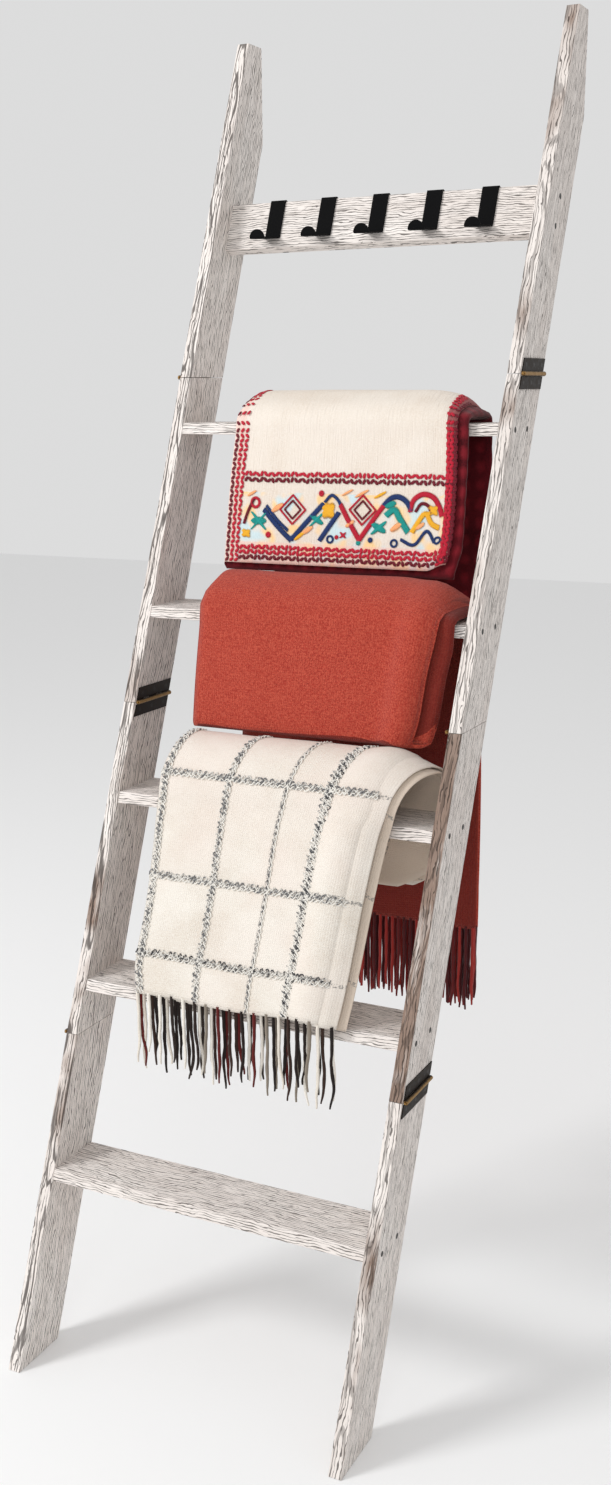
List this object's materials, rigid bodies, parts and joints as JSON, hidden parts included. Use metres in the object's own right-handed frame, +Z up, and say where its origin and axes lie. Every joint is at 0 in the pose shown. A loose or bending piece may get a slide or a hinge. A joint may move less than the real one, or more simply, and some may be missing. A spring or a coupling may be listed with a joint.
{
  "type": "leaning blanket ladder with folded throws",
  "caption": "Leaning wooden blanket ladder of hinged rail sections with level treads, a board of sliding hooks, and a folded quilt and two fringed throws hung over its treads.",
  "frame": {"origin": "on the floor, midway between the rails and midway between the front of the feet and the wall", "axes": "+Z up, +Y towards the wall, +X to the right of a person facing the ladder"},
  "size_m": [0.5398, 0.7906, 1.83],
  "materials": {
    "whitewashed_wood": "whitewashed, with dark open grain and worn brown edges",
    "bronze_hinge": "dark antique bronze",
    "hinge_brass": "aged brass",
    "screw_steel": "dark zinc",
    "black_hook": "flat black powder coat",
    "quilt_cotton": "cream cotton with an embroidered band and crimson binding",
    "red_wool": "fine brushed wool, brick red",
    "plaid_wool": "soft cream wool with a grey boucle windowpane check",
    "plaid_fringe": "twisted cream, brown and dark red yarn"
  },
  "bodies": {
    "root": {"hook_board": "whitewashed_wood", "hook_board_screws": "screw_steel", "left_hinge_high_lower_leaf": "bronze_hinge", "left_hinge_high_pin": "hinge_brass", "left_hinge_high_upper_leaf": "bronze_hinge", "left_hinge_low_lower_leaf": "bronze_hinge", "left_hinge_low_pin": "hinge_brass", "left_hinge_low_upper_leaf": "bronze_hinge", "left_hinge_middle_lower_leaf": "bronze_hinge", "left_hinge_middle_pin": "hinge_brass", "left_hinge_middle_upper_leaf": "bronze_hinge", "left_hinge_screws": "screw_steel", "left_rail_foot": "whitewashed_wood", "left_rail_lower": "whitewashed_wood", "left_rail_top": "whitewashed_wood", "left_rail_upper": "whitewashed_wood", "left_tread_screws": "screw_steel", "right_hinge_high_lower_leaf": "bronze_hinge", "right_hinge_high_pin": "hinge_brass", "right_hinge_high_upper_leaf": "bronze_hinge", "right_hinge_low_lower_leaf": "bronze_hinge", "right_hinge_low_pin": "hinge_brass", "right_hinge_low_upper_leaf": "bronze_hinge", "right_hinge_middle_lower_leaf": "bronze_hinge", "right_hinge_middle_pin": "hinge_brass", "right_hinge_middle_upper_leaf": "bronze_hinge", "right_hinge_screws": "screw_steel", "right_rail_foot": "whitewashed_wood", "right_rail_lower": "whitewashed_wood", "right_rail_top": "whitewashed_wood", "right_rail_upper": "whitewashed_wood", "right_tread_screws": "screw_steel", "tread_1": "whitewashed_wood", "tread_2": "whitewashed_wood", "tread_3": "whitewashed_wood", "tread_4": "whitewashed_wood", "tread_5": "whitewashed_wood"},
    "hook_1_body": {"hook_1": "black_hook"},
    "hook_2_body": {"hook_2": "black_hook"},
    "hook_3_body": {"hook_3": "black_hook"},
    "hook_4_body": {"hook_4": "black_hook"},
    "hook_5_body": {"hook_5": "black_hook"},
    "quilt_body": {"quilt": "quilt_cotton"},
    "wool_body": {"wool_throw": "red_wool", "wool_fringe": "red_wool"},
    "plaid_body": {"plaid_throw": "plaid_wool", "plaid_fringe": "plaid_fringe"}
  },
  "joints": [
    {"name": "hook_1_slide", "type": "slide", "parent": "root", "child": "hook_1_body", "axis": [1, 0, 0], "range_m": [-0.025, 0.025]},
    {"name": "hook_2_slide", "type": "slide", "parent": "root", "child": "hook_2_body", "axis": [1, 0, 0], "range_m": [-0.025, 0.025]},
    {"name": "hook_3_slide", "type": "slide", "parent": "root", "child": "hook_3_body", "axis": [1, 0, 0], "range_m": [-0.025, 0.025]},
    {"name": "hook_4_slide", "type": "slide", "parent": "root", "child": "hook_4_body", "axis": [1, 0, 0], "range_m": [-0.025, 0.025]},
    {"name": "hook_5_slide", "type": "slide", "parent": "root", "child": "hook_5_body", "axis": [1, 0, 0], "range_m": [-0.025, 0.025]},
    {"name": "quilt_slide", "type": "slide", "parent": "root", "child": "quilt_body", "axis": [1, 0, 0], "range_m": [-0.07, 0.03]},
    {"name": "wool_slide", "type": "slide", "parent": "root", "child": "wool_body", "axis": [1, 0, 0], "range_m": [-0.07, 0.004]},
    {"name": "plaid_slide", "type": "slide", "parent": "root", "child": "plaid_body", "axis": [1, 0, 0], "range_m": [-0.07, 0.006]}
  ]
}
